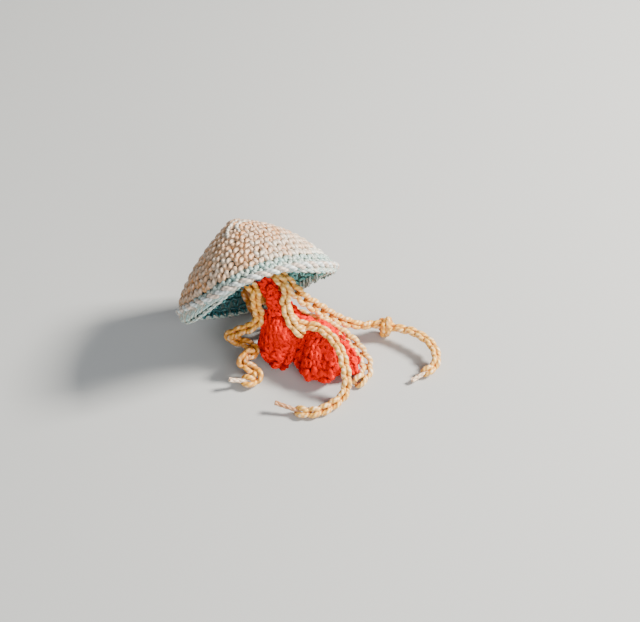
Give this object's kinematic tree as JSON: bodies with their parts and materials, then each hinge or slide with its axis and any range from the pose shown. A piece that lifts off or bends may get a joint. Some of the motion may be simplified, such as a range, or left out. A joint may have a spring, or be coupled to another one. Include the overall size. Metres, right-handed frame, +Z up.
{
  "type": "crocheted jellyfish toy",
  "caption": "Small crocheted jellyfish lying on its side: a pointed cup of stitched thread, frilled red wool arms and thin chain-stitch tentacles.",
  "frame": {"origin": "on the table, under the middle of the box round the cup and the oral arms", "axes": "+Z up from the table; +X towards the side where the rim is raised and the long tentacle leads away; -Y towards the viewer who looks into the cup"},
  "size_m": [0.0786, 0.0525, 0.0422],
  "materials": {
    "cup_thread": "matt crocheted cotton, peach and pale aqua worked together",
    "brim_thread": "matt crocheted cotton, pale aqua",
    "tentacle_thread": "matt crochet chain of cream cotton",
    "arm_wool": "matt crocheted red wool, slightly fuzzy"
  },
  "bodies": {
    "root": {"cup_crown": "cup_thread", "cup_brim": "brim_thread", "tentacle_left_upper": "tentacle_thread", "tentacle_left_lower": "tentacle_thread", "tentacle_left_tail": "tentacle_thread", "tentacle_short": "tentacle_thread", "tentacle_right_upper": "tentacle_thread", "tentacle_right_middle": "tentacle_thread", "tentacle_right_knot": "tentacle_thread", "tentacle_right_lower": "tentacle_thread", "tentacle_right_tail": "tentacle_thread", "tentacle_front_upper": "tentacle_thread", "tentacle_front_lower": "tentacle_thread", "tentacle_front_tail": "tentacle_thread", "tentacle_curl_upper": "tentacle_thread", "tentacle_curl_lower": "tentacle_thread", "tentacle_inner": "tentacle_thread", "tentacle_hidden": "tentacle_thread", "oral_arm_left_stem": "arm_wool", "oral_arm_left_frill": "arm_wool", "oral_arm_right_stem": "arm_wool", "oral_arm_right_frill": "arm_wool"}
  },
  "joints": []
}
